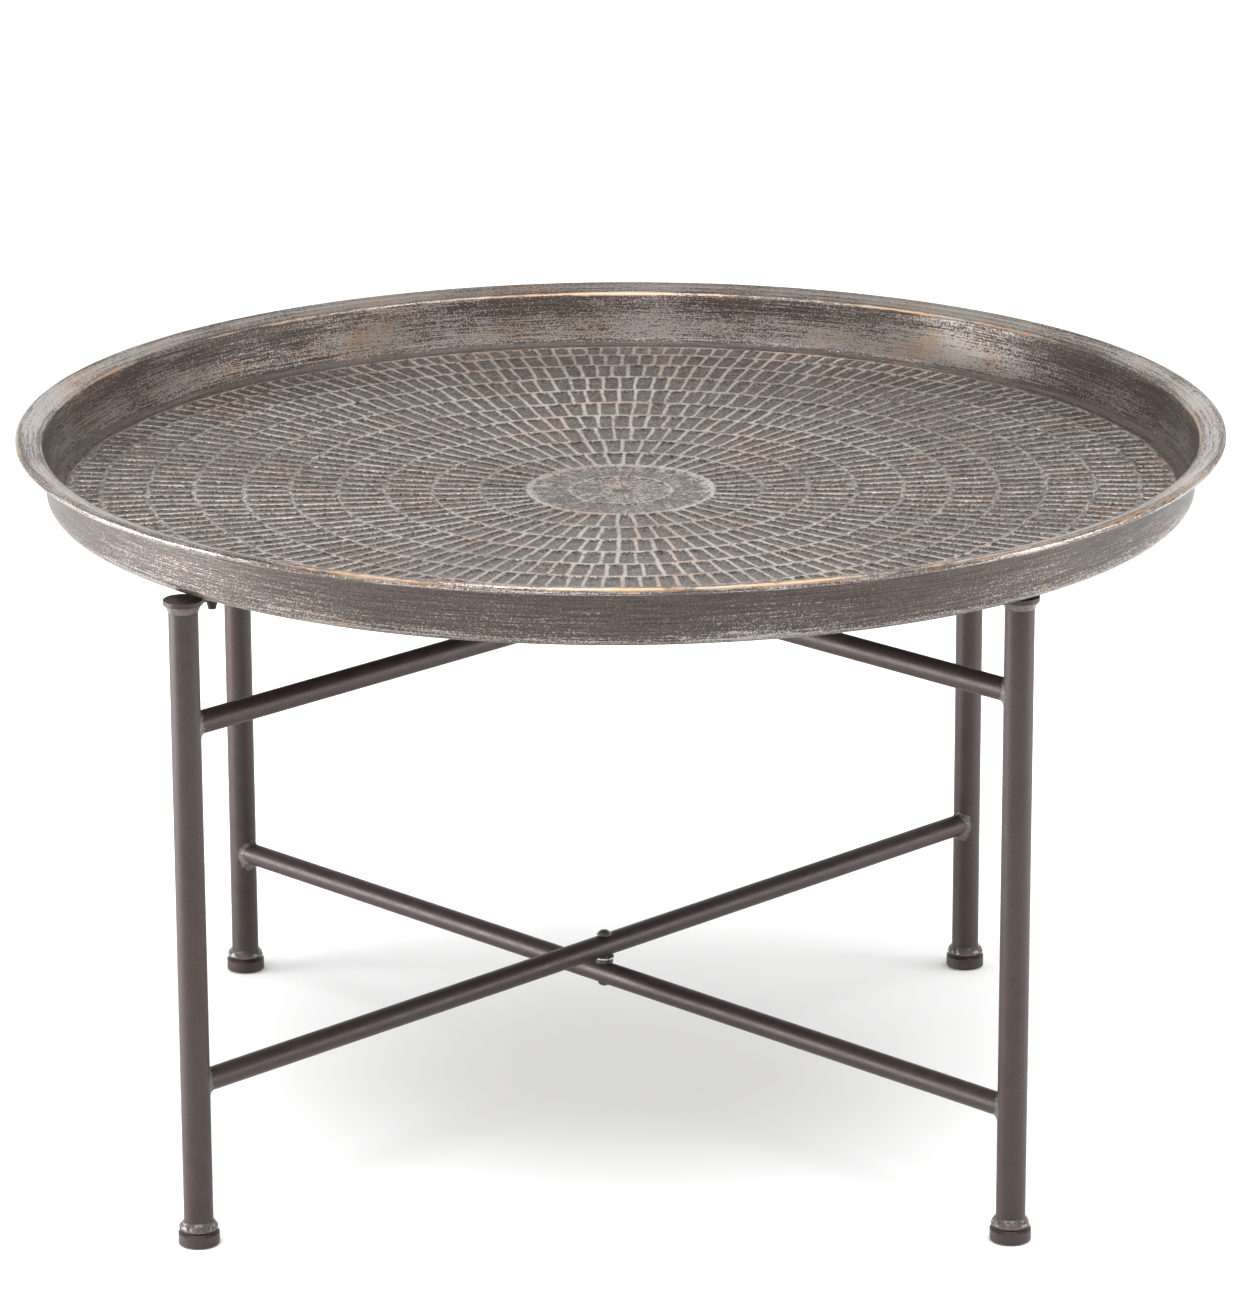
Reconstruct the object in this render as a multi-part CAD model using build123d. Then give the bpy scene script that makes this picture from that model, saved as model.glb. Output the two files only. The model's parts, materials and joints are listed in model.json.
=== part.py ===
"""Round tray table on a folding base of two crossed tube frames.

Units are millimetres and +Z is up. The origin is on the floor below the centre of the
round tray. The tray is loose, and the base's fold axis stands a little to one side of it.
"""
from build123d import *
from math import cos, radians, sin
import os

# Tray: a sheet pressed into a floor, a wall and a flange, with its edge rolled over a wire
TRAY_RADIUS = 400.0
TRAY_DEPTH = 43.0
TRAY_UNDERSIDE_HEIGHT = 435.0
SHEET = 1.2
FLOOR_CORNER_RADIUS = 5.4
SHOULDER_RADIUS = 3.0
FLANGE_LENGTH = 12.5
FLANGE_SLOPE = 18.0
WALL_FLARE = 5.5
RIM_WIRE_RADIUS = 1.5
RIM_ROLL_TURN = 285.0

# Base: the vertical axis that the two frames fold about, measured from the tray's centre
FOLD_AXIS_X = -12.6

# Legs, on a circle about the fold axis, a little smaller than the tray's rim
LEG_INSET = 30.5
LEG_RADIUS = 9.5
LEG_WALL = 1.2

# Rails, two in each frame, passing over or under the other frame's rails
RAIL_RADIUS = 7.5
RAIL_WALL = 1.2
LOWER_CROSSING_HEIGHT = 99.6
UPPER_CROSSING_DROP = 76.4

# Feet: a turned cup on each leg, with a plastic glide pressed into its underside
FOOT_LEDGE = 3.8
FOOT_BAND_HEIGHT = 7.0
FOOT_SHOULDER_HEIGHT = 7.0
FOOT_WEB = 1.5
SOCKET_CLEARANCE = 0.1
FOOT_RIM_WALL = 2.3
GLIDE_THICKNESS = 3.0
GLIDE_STANDOUT = 1.0

# Top plates: a disc on each leg with a tab that points at the fold axis
PLATE_LEDGE = 3.0
PLATE_THICKNESS = 3.0
TAB_REACH = 24.0
TAB_MARGIN = 0.5

# Rubber bumpers, pushed through the tabs
BUMPER_HEAD_RADIUS = 7.0
BUMPER_HEAD_THICKNESS = 3.0
BUMPER_NECK_RADIUS = 3.0
BUMPER_BULB_RADIUS = 4.5
BUMPER_BULB_LENGTH = 8.0
BUMPER_TIP_RADIUS = 2.5
BUMPER_EDGE_FILLET = 0.8

# Pivots: a rivet through each crossing, fixed in the outer frame, with a spacer and a washer
RIVET_RADIUS = 3.0
RIVET_HEAD_RADIUS = 5.2
RIVET_HEAD_HEIGHT = 3.4
RIVET_TAIL_RADIUS = 4.3
RIVET_TAIL_HEIGHT = 2.2
SPACER_RADIUS = 6.0
SPACER_THICKNESS = 3.1
WASHER_RADIUS = 6.6
WASHER_THICKNESS = 1.0
RIVET_RUNNING_CLEARANCE = 0.05
PIVOT_END_PLAY = 0.3

# Where each frame's front leg stands, as an angle about the fold axis from +X
OUTER_FRONT_ANGLE = -45.0
INNER_FRONT_ANGLE = -135.0

# Sizes, heights and places that follow from the dimensions above
LEG_CIRCLE_RADIUS = TRAY_RADIUS - LEG_INSET
UPPER_CROSSING_HEIGHT = TRAY_UNDERSIDE_HEIGHT - UPPER_CROSSING_DROP
FOOT_RADIUS = LEG_RADIUS + FOOT_LEDGE
GLIDE_RADIUS = FOOT_RADIUS - FOOT_RIM_WALL
PLATE_RADIUS = LEG_RADIUS + PLATE_LEDGE
TAB_RADIUS = BUMPER_HEAD_RADIUS + TAB_MARGIN
PLATE_TOP_HEIGHT = TRAY_UNDERSIDE_HEIGHT - BUMPER_HEAD_THICKNESS
PLATE_UNDERSIDE_HEIGHT = PLATE_TOP_HEIGHT - PLATE_THICKNESS
FOOT_SOCKET_BOTTOM = GLIDE_THICKNESS + FOOT_WEB
FOOT_BAND_TOP = GLIDE_STANDOUT + FOOT_BAND_HEIGHT
FOOT_TOP = FOOT_BAND_TOP + FOOT_SHOULDER_HEIGHT
BUMPER_CIRCLE_RADIUS = LEG_CIRCLE_RADIUS - TAB_REACH
RAIL_GAP = SPACER_THICKNESS + WASHER_THICKNESS + PIVOT_END_PLAY
RAIL_OFFSET = RAIL_RADIUS + RAIL_GAP / 2


def revolved(profile):
    """Turn a profile, drawn as radius and height, into a solid about the Z axis."""
    return revolve(Plane.XZ * profile, Axis.Z)


def upright(radius, bottom, top):
    """A solid cylinder about the Z axis between two heights."""
    return Pos(0, 0, bottom) * extrude(Circle(radius), top - bottom)


def domed(radius, height):
    """A shallow dome standing on Z = 0: the cap of a sphere."""
    sphere_radius = (radius**2 + height**2) / (2 * height)
    cap = Pos(0, 0, height - sphere_radius) * Sphere(sphere_radius)
    return cap & upright(radius + 1, 0, height + 1)


def at_leg(piece):
    """Stand a piece that was made about the Z axis on the leg circle, along +X."""
    return Pos(LEG_CIRCLE_RADIUS, 0, 0) * piece


# ---- tray ----

def rim_centre():
    """Radius and height of the wire's centre inside the rolled rim."""
    bead_radius = RIM_WIRE_RADIUS + SHEET
    height = TRAY_UNDERSIDE_HEIGHT + TRAY_DEPTH - bead_radius
    return Vector(TRAY_RADIUS - bead_radius, height)


def tray_centre_line():
    """The middle of the sheet, from the rolled rim inwards to the centre of the floor."""
    roll_radius = RIM_WIRE_RADIUS + SHEET / 2
    slope = radians(FLANGE_SLOPE)
    outward = Vector(cos(slope), sin(slope))
    roll_start = rim_centre() + Vector(-sin(slope), cos(slope)) * roll_radius
    roll = JernArc(roll_start, outward, roll_radius, -RIM_ROLL_TURN)
    flange = Line(roll_start, roll_start - outward * FLANGE_LENGTH)
    shoulder = JernArc(flange @ 1, flange % 1, SHOULDER_RADIUS, 90 - WALL_FLARE - FLANGE_SLOPE)
    flare = radians(WALL_FLARE)
    floor_height = TRAY_UNDERSIDE_HEIGHT + SHEET / 2
    wall_foot_height = floor_height + FLOOR_CORNER_RADIUS * (1 - sin(flare))
    wall_length = ((shoulder @ 1).Y - wall_foot_height) / cos(flare)
    wall = Line(shoulder @ 1, shoulder @ 1 + (shoulder % 1) * wall_length)
    corner = JernArc(wall @ 1, wall % 1, FLOOR_CORNER_RADIUS, WALL_FLARE - 90)
    floor = Line(corner @ 1, (0, floor_height))
    return roll, flange, shoulder, wall, corner, floor


def tray():
    """The pressed sheet: both sides of its middle line, closed and turned about the axis."""
    middle = Wire(tray_centre_line())
    profile = trace(middle, SHEET)
    return revolved(profile)


def rim_wire():
    """The wire that the rim is rolled over."""
    centre = rim_centre()
    return revolved(Pos(centre.X, centre.Y) * Circle(RIM_WIRE_RADIUS))


# ---- frames ----

def leg():
    """A straight tube from the web of the foot to the top plate."""
    tube = upright(LEG_RADIUS, FOOT_SOCKET_BOTTOM, PLATE_UNDERSIDE_HEIGHT)
    bore = upright(LEG_RADIUS - LEG_WALL, FOOT_SOCKET_BOTTOM, PLATE_UNDERSIDE_HEIGHT)
    return at_leg(tube - bore)


def foot():
    """A cup with a straight band, a rounded shoulder, a socket for the leg and a glide recess."""
    band_corner = (FOOT_RADIUS, FOOT_BAND_TOP)
    mouth = (LEG_RADIUS + SOCKET_CLEARANCE, FOOT_TOP)
    shoulder = RadiusArc(band_corner, mouth, FOOT_SHOULDER_HEIGHT)
    sides = Polyline(
        mouth,
        (LEG_RADIUS + SOCKET_CLEARANCE, FOOT_SOCKET_BOTTOM),
        (0, FOOT_SOCKET_BOTTOM),
        (0, GLIDE_THICKNESS),
        (GLIDE_RADIUS, GLIDE_THICKNESS),
        (GLIDE_RADIUS, GLIDE_STANDOUT),
        (FOOT_RADIUS, GLIDE_STANDOUT),
        band_corner,
    )
    return at_leg(revolved(make_face(shoulder + sides)))


def glide():
    """The plastic disc that the foot stands on."""
    disc = upright(GLIDE_RADIUS, 0, GLIDE_THICKNESS)
    return at_leg(disc)


def top_plate():
    """A disc on the leg with a round-ended tab towards the fold axis and a bumper hole."""
    tab_end = Pos(-TAB_REACH, 0) * Circle(TAB_RADIUS)
    neck = Pos(-TAB_REACH / 2, 0) * Rectangle(TAB_REACH, 2 * TAB_RADIUS)
    hole = Pos(-TAB_REACH, 0) * Circle(BUMPER_NECK_RADIUS)
    outline = Circle(PLATE_RADIUS) + neck + tab_end - hole
    return at_leg(Pos(0, 0, PLATE_UNDERSIDE_HEIGHT) * extrude(outline, PLATE_THICKNESS))


def bumper():
    """A rubber button: a head on the tab, a neck through it and a tapered bulb under it."""
    head = upright(BUMPER_HEAD_RADIUS, PLATE_TOP_HEIGHT, TRAY_UNDERSIDE_HEIGHT)
    head = fillet(head.edges().sort_by(Axis.Z)[-1], BUMPER_EDGE_FILLET)
    neck = upright(BUMPER_NECK_RADIUS, PLATE_UNDERSIDE_HEIGHT, PLATE_TOP_HEIGHT)
    taper = Polyline(
        (0, PLATE_UNDERSIDE_HEIGHT),
        (BUMPER_BULB_RADIUS, PLATE_UNDERSIDE_HEIGHT),
        (BUMPER_TIP_RADIUS, PLATE_UNDERSIDE_HEIGHT - BUMPER_BULB_LENGTH),
        (0, PLATE_UNDERSIDE_HEIGHT - BUMPER_BULB_LENGTH),
        close=True,
    )
    bulb = revolved(make_face(taper))
    return Pos(BUMPER_CIRCLE_RADIUS, 0, 0) * (head + neck + bulb)


def rail(height, hole_radius):
    """A tube from leg to leg, coped to both and drilled at its middle for the rivet."""
    along_x = Pos(-LEG_CIRCLE_RADIUS, 0, height) * Rot(Y=90)
    section = Circle(RAIL_RADIUS) - Circle(RAIL_RADIUS - RAIL_WALL)
    tube = along_x * extrude(section, 2 * LEG_CIRCLE_RADIUS)
    bottom = height - 2 * RAIL_RADIUS
    top = height + 2 * RAIL_RADIUS
    for side in (-1, 1):
        tube -= Pos(side * LEG_CIRCLE_RADIUS, 0) * upright(LEG_RADIUS, bottom, top)
    return tube - upright(hole_radius, bottom, top)


def frame(lower_rail_height, upper_rail_height, hole_radius):
    """One frame's pieces by name, with its front leg at +X and its back leg at -X."""
    pieces = {
        "lower_rail": rail(lower_rail_height, hole_radius),
        "upper_rail": rail(upper_rail_height, hole_radius),
    }
    for side, turn in (("front", 0), ("back", 180)):
        for name, make in (
            ("leg", leg),
            ("foot", foot),
            ("glide", glide),
            ("top_plate", top_plate),
            ("bumper", bumper),
        ):
            pieces[f"{name}_{side}"] = Rot(Z=turn) * make()
    return pieces


# ---- pivots ----

def ring(radius, bottom, top):
    """A flat ring on the rivet's shank."""
    return upright(radius, bottom, top) - upright(RIVET_RADIUS, bottom, top)


def pivot(height, outer_side):
    """One crossing's rivet, spacer and washer.

    outer_side is 1 where the outer frame's rail is the upper one and -1 where it is the lower
    one. The stack sits on the outer frame's rail, and the end play is at the inner frame's rail.
    """
    reach = RAIL_OFFSET + RAIL_RADIUS
    inner_reach = reach + PIVOT_END_PLAY
    above = reach if outer_side > 0 else inner_reach
    below = inner_reach if outer_side > 0 else reach
    head = Pos(0, 0, height + above) * domed(RIVET_HEAD_RADIUS, RIVET_HEAD_HEIGHT)
    tail = Pos(0, 0, height - below) * Rot(X=180) * domed(RIVET_TAIL_RADIUS, RIVET_TAIL_HEIGHT)
    rivet = head + upright(RIVET_RADIUS, height - below, height + above) + tail
    levels = [RAIL_GAP / 2, RAIL_GAP / 2 - SPACER_THICKNESS]
    levels.append(levels[1] - WASHER_THICKNESS)
    levels = [height + outer_side * level for level in levels]
    return {
        "rivet": rivet,
        "spacer": ring(SPACER_RADIUS, min(levels[:2]), max(levels[:2])),
        "washer": ring(WASHER_RADIUS, min(levels[1:]), max(levels[1:])),
    }


def assembly():
    """Every piece by its node's name, in its place: first the base, then the loose tray."""
    outer = frame(
        LOWER_CROSSING_HEIGHT - RAIL_OFFSET,
        UPPER_CROSSING_HEIGHT + RAIL_OFFSET,
        RIVET_RADIUS,
    )
    inner = frame(
        LOWER_CROSSING_HEIGHT + RAIL_OFFSET,
        UPPER_CROSSING_HEIGHT - RAIL_OFFSET,
        RIVET_RADIUS + RIVET_RUNNING_CLEARANCE,
    )
    base = {}
    for name, piece in outer.items():
        base[f"outer_{name}"] = Rot(Z=OUTER_FRONT_ANGLE) * piece
    for name, piece in inner.items():
        base[f"inner_{name}"] = Rot(Z=INNER_FRONT_ANGLE) * piece
    for name, piece in pivot(LOWER_CROSSING_HEIGHT, -1).items():
        base[f"lower_pivot_{name}"] = piece
    for name, piece in pivot(UPPER_CROSSING_HEIGHT, 1).items():
        base[f"upper_pivot_{name}"] = piece
    pieces = {name: Pos(FOLD_AXIS_X, 0, 0) * piece for name, piece in base.items()}
    pieces["tray"] = tray()
    pieces["rim_wire"] = rim_wire()
    return pieces


os.makedirs("parts", exist_ok=True)
for node, solid in assembly().items():
    export_step(solid, f"parts/{node}.step")
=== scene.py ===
import json
import math

import bpy
import numpy as np
from mathutils import Matrix, Vector

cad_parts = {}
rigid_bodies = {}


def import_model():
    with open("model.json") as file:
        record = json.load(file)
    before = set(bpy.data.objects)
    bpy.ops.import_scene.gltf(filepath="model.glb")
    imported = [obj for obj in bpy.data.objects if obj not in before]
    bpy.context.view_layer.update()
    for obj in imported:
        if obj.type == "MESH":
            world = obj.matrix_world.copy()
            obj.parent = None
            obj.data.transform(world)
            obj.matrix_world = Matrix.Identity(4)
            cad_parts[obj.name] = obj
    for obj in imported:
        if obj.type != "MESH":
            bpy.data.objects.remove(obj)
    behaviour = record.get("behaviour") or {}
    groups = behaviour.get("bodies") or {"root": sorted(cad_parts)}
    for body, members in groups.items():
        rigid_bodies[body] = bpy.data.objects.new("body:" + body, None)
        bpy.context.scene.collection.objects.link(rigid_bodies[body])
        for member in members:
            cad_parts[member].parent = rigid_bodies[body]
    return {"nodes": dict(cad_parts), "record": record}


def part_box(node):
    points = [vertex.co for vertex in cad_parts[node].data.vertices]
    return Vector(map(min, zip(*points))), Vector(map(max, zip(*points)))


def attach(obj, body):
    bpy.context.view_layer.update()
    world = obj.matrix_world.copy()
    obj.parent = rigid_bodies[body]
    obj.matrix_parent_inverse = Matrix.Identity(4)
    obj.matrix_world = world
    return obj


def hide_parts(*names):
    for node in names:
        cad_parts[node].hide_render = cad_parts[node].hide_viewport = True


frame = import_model()
for stray in [o for o in bpy.data.objects if o.name in ("Cube", "Light", "Camera")]:
    bpy.data.objects.remove(stray)
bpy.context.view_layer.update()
nodes = frame["nodes"]
scene = bpy.context.scene

MM = 0.001
TURN = 2 * math.pi

# ---------------------------------------------------------------- where the CAD says things are
tray_low, tray_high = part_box("tray")
UNDERSIDE = tray_low.z
RIM_TOP = tray_high.z
TRAY_RADIUS = tray_high.x
SHEET = 1.2 * MM
FLOOR_TOP = UNDERSIDE + SHEET

# ---------------------------------------------------------------- the dish of the tray's floor
FLOOR_SAG = 6.4 * MM
FLAT_MIDDLE = 34.0 * MM
# the dish ends nearer the axis than the bumpers, and the level edge clears them by a small gap
DISH_RADIUS = TRAY_RADIUS - 80.0 * MM
BUMPER_GAP = 0.15 * MM
# share of the slope that turns over into the level edge
OVER_SHARE = 0.12


def dip(radius):
    """How far the dished floor lies below its level edge, at a distance from the axis."""
    radius = np.asarray(radius, float)
    run = DISH_RADIUS - FLAT_MIDDLE
    over = OVER_SHARE * run
    slope = 2 * FLOOR_SAG / run
    outer = np.clip(DISH_RADIUS - radius, 0, None)
    inner = np.clip(radius - FLAT_MIDDLE, 0, None)
    turning = slope * outer**2 / (2 * over)
    sloping = FLOOR_SAG - slope * inner**2 / (2 * (run - over))
    return np.where(outer < over, turning, sloping)


# ---------------------------------------------------------------- mesh building
def link_mesh(name, mesh):
    """Put a finished mesh into the scene as an object."""
    mesh.update()
    piece = bpy.data.objects.new(name, mesh)
    scene.collection.objects.link(piece)
    return piece


class Sheet:
    """Vertices in rings about the Z axis, with the values that drive the patina."""

    def __init__(self):
        self.points, self.ridge, self.cell, self.along = [], [], [], []
        self.faces, self.slots = [], []
        self.count = 0

    def ring(self, angle, radius, height, ridge=0.0, cell=0.5, along=0.0):
        """Add one closed ring, in order of angle, and return its first index, size and angles."""
        n = len(angle)
        angle = np.asarray(angle, float)
        radius = np.broadcast_to(radius, n)
        xyz = np.stack([radius * np.cos(angle), radius * np.sin(angle), np.broadcast_to(height, n)], 1)
        self.points.append(xyz)
        self.ridge.append(np.broadcast_to(ridge, n).astype(float))
        self.cell.append(np.broadcast_to(cell, n).astype(float))
        self.along.append(np.broadcast_to(along, n).astype(float))
        start = self.count
        self.count += n
        return start, n, angle

    def strip(self, a, b, slot, flip=False):
        """Quads between two rings of the same size. flip turns their faces over."""
        n = a[1]
        for here in range(n):
            after = (here + 1) % n
            quad = (a[0] + here, a[0] + after, b[0] + after, b[0] + here)
            self.faces.append(quad[::-1] if flip else quad)
            self.slots.append(slot)

    def zip(self, a, b, slot, flip=False):
        """Triangles between two rings of different sizes, matched by angle."""
        (sa, na, ta), (sb, nb, tb) = a, b
        first = int(np.argmin(np.abs((tb - ta[0] + math.pi) % TURN - math.pi)))
        ia = np.arange(na + 1) % na
        ib = (np.arange(nb + 1) + first) % nb
        ua = np.unwrap(ta[ia])
        ub = np.unwrap(tb[ib])
        ub += round((ua[0] - ub[0]) / TURN) * TURN
        i = j = 0
        while i < na or j < nb:
            go_a = j >= nb or (i < na and ua[i + 1] <= ub[j + 1])
            if go_a:
                tri = (sa + ia[i], sa + ia[i + 1], sb + ib[j])
                i += 1
            else:
                tri = (sa + ia[i], sb + ib[j + 1], sb + ib[j])
                j += 1
            tri = tuple(int(v) for v in tri)
            self.faces.append(tri[::-1] if flip else tri)
            self.slots.append(slot)

    def centre(self, height, ring, slot, flip=False):
        """Close a ring with a fan to one point on the axis."""
        start, _, _ = self.ring([0.0], 0.0, height)
        for k in range(ring[1]):
            tri = (start, ring[0] + k, ring[0] + (k + 1) % ring[1])
            self.faces.append(tri[::-1] if flip else tri)
            self.slots.append(slot)

    def build(self, name, materials):
        mesh = bpy.data.meshes.new(name)
        points = np.concatenate(self.points)
        mesh.from_pydata(points.tolist(), [], self.faces)
        for key in ("ridge", "cell", "along"):
            values = np.concatenate(getattr(self, key)).astype(np.float32)
            mesh.attributes.new(key, "FLOAT", "POINT").data.foreach_set("value", values)
        for material in materials:
            mesh.materials.append(material)
        mesh.polygons.foreach_set("material_index", np.array(self.slots, np.int32))
        mesh.polygons.foreach_set("use_smooth", np.ones(len(self.faces), bool))
        return link_mesh(name, mesh)


def loop_mesh(name, sections, material):
    """A closed tube from a closed row of closed sections, each an (n, 3) array."""
    sections = [np.asarray(s, float) for s in sections]
    count, n = len(sections), len(sections[0])
    faces = []
    for i in range(count):
        for j in range(n):
            i2, j2 = (i + 1) % count, (j + 1) % n
            faces.append((i * n + j, i * n + j2, i2 * n + j2, i2 * n + j))
    mesh = bpy.data.meshes.new(name)
    mesh.from_pydata(np.concatenate(sections).tolist(), [], faces)
    mesh.polygons.foreach_set("use_smooth", np.ones(len(faces), bool))
    mesh.materials.append(material)
    return link_mesh(name, mesh)


# ---------------------------------------------------------------- node helpers
class Tree:
    """Short calls for building the nodes of one material or world."""

    def __init__(self, owner, shader):
        owner.use_nodes = True
        self.owner = owner
        self.tree = owner.node_tree
        self.shader = self.tree.nodes[shader]

    def put(self, socket, value):
        if isinstance(value, bpy.types.NodeSocket):
            self.tree.links.new(value, socket)
        elif isinstance(value, tuple) and len(value) == 3 and socket.type == "RGBA":
            socket.default_value = (*value, 1)
        else:
            socket.default_value = value

    def set(self, **values):
        for key, value in values.items():
            self.put(self.shader.inputs[key.replace("_", " ")], value)

    def coordinates(self, kind="Object"):
        return self.tree.nodes.new("ShaderNodeTexCoord").outputs[kind]

    def attribute(self, name):
        node = self.tree.nodes.new("ShaderNodeAttribute")
        node.attribute_name = name
        return node.outputs["Fac"]

    def math(self, operation, a, b):
        node = self.tree.nodes.new("ShaderNodeMath")
        node.operation = operation
        self.put(node.inputs[0], a)
        self.put(node.inputs[1], b)
        return node.outputs[0]

    def times(self, a, b):
        return self.math("MULTIPLY", a, b)

    def add(self, total, *others):
        for other in others:
            total = self.math("ADD", total, other)
        return total

    def swing(self, value, size):
        """A value from 0 to 1 turned into a change to both sides of zero."""
        return self.times(self.math("SUBTRACT", value, 0.5), size)

    def split(self, vector):
        node = self.tree.nodes.new("ShaderNodeSeparateXYZ")
        self.put(node.inputs[0], vector)
        return node.outputs

    def join(self, x, y, z):
        node = self.tree.nodes.new("ShaderNodeCombineXYZ")
        for socket, value in zip(node.inputs, (x, y, z)):
            self.put(socket, value)
        return node.outputs[0]

    def noise(self, point, scale, detail=2.0, rough=0.5):
        node = self.tree.nodes.new("ShaderNodeTexNoise")
        self.put(node.inputs["Vector"], point)
        node.inputs["Scale"].default_value = scale
        node.inputs["Detail"].default_value = detail
        node.inputs["Roughness"].default_value = rough
        return node.outputs["Fac"]

    def step(self, value, low, high, to_low=0.0, to_high=1.0):
        """A smooth step from to_low to to_high as the value goes from low to high."""
        node = self.tree.nodes.new("ShaderNodeMapRange")
        node.interpolation_type = "SMOOTHSTEP"
        self.put(node.inputs["Value"], value)
        limits = {"From Min": low, "From Max": high, "To Min": to_low, "To Max": to_high}
        for key, number in limits.items():
            node.inputs[key].default_value = number
        return node.outputs["Result"]

    def mix(self, factor, a, b):
        """A blend from colour a to colour b."""
        node = self.tree.nodes.new("ShaderNodeMix")
        node.data_type = "RGBA"
        self.put(node.inputs["Factor"], factor)
        first, second = [socket for socket in node.inputs if socket.type == "RGBA"]
        self.put(first, a)
        self.put(second, b)
        return [socket for socket in node.outputs if socket.type == "RGBA"][0]

    def from_axis(self):
        """The x and y of the direction away from the Z axis, and the distance from it."""
        x, y, _ = self.split(self.coordinates())
        flat = self.join(x, y, 0.0)
        found = []
        for operation, result in (("NORMALIZE", "Vector"), ("LENGTH", "Value")):
            node = self.tree.nodes.new("ShaderNodeVectorMath")
            node.operation = operation
            self.put(node.inputs[0], flat)
            found.append(node.outputs[result])
        unit_x, unit_y, _ = self.split(found[0])
        return unit_x, unit_y, found[1]

    def polar(self, direction, per_turn, across, per_metre):
        """A point for noise that changes slowly around the axis and fast across, with no seam."""
        x, y = (self.times(part, per_turn) for part in direction)
        return self.join(x, y, self.times(across, per_metre))

    def bump(self, height, strength, distance):
        node = self.tree.nodes.new("ShaderNodeBump")
        node.inputs["Strength"].default_value = strength
        node.inputs["Distance"].default_value = distance
        self.put(node.inputs["Height"], height)
        self.put(self.shader.inputs["Normal"], node.outputs["Normal"])


def surface(name):
    """The nodes of a new material."""
    return Tree(bpy.data.materials.new(name), "Principled BSDF")


# ---------------------------------------------------------------- materials
def floor_patina():
    t = surface("tray_floor_patina")
    p = t.coordinates()
    ridge = t.attribute("ridge")
    cell = t.attribute("cell")
    *direction, distance = t.from_axis()
    grain = t.noise(p, 850, 1.0)
    fine = t.noise(p, 450, 2.0, 0.6)
    medium = t.noise(p, 130, 3.0, 0.6)
    broad = t.noise(p, 16, 3.0, 0.6)
    wide = t.noise(p, 7, 2.0)
    teeth = t.noise(t.polar(direction, 45, distance, 900), 1.0, 1.0)

    # recesses: dark brown-grey, a little different in each cell, with light and dark specks
    dark = t.mix(t.step(medium, 0.35, 0.65), (0.052, 0.040, 0.036), (0.086, 0.070, 0.062))
    dark = t.mix(t.step(cell, 0.0, 1.0, 0.0, 0.35), dark, (0.125, 0.101, 0.089))
    speck = t.step(t.add(grain, t.times(fine, 0.7)), 0.84, 1.02, 0.0, 0.75)
    dark = t.mix(speck, dark, (0.330, 0.290, 0.262))
    dark = t.mix(t.step(grain, 0.30, 0.46, 0.7, 0.0), dark, (0.040, 0.031, 0.027))

    # raised lines: rubbed back to silver grey, and in patches to copper, with ragged edges; on the lines
    # between rings the ridge values also carry a painted highlight, stronger at the tray's front and back
    copper = t.step(t.add(broad, t.times(medium, 0.25)), 0.60, 0.74, 0.0, 0.85)
    light = t.mix(copper, (0.485, 0.445, 0.410), (0.540, 0.345, 0.240))
    light = t.mix(t.step(fine, 0.35, 0.7, 0.0, 0.6), light, (0.64, 0.60, 0.56))
    ragged = t.add(t.swing(fine, 1.1), t.swing(medium, 0.7), t.swing(teeth, 1.1))
    rubbed = t.step(wide, 0.30, 0.62, 0.55, 1.0)
    wear_and_painted_light = t.times(t.step(t.add(ridge, ragged), 0.45, 1.0), rubbed)
    t.set(Base_Color=t.mix(wear_and_painted_light, dark, light), Metallic=0.72, Specular_IOR_Level=0.4)
    t.set(Roughness=t.step(wear_and_painted_light, 0.0, 1.0, 0.36, 0.28))
    t.bump(t.add(fine, grain, t.times(medium, 1.2), teeth), 0.5, 0.0005)
    return t.owner


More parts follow.
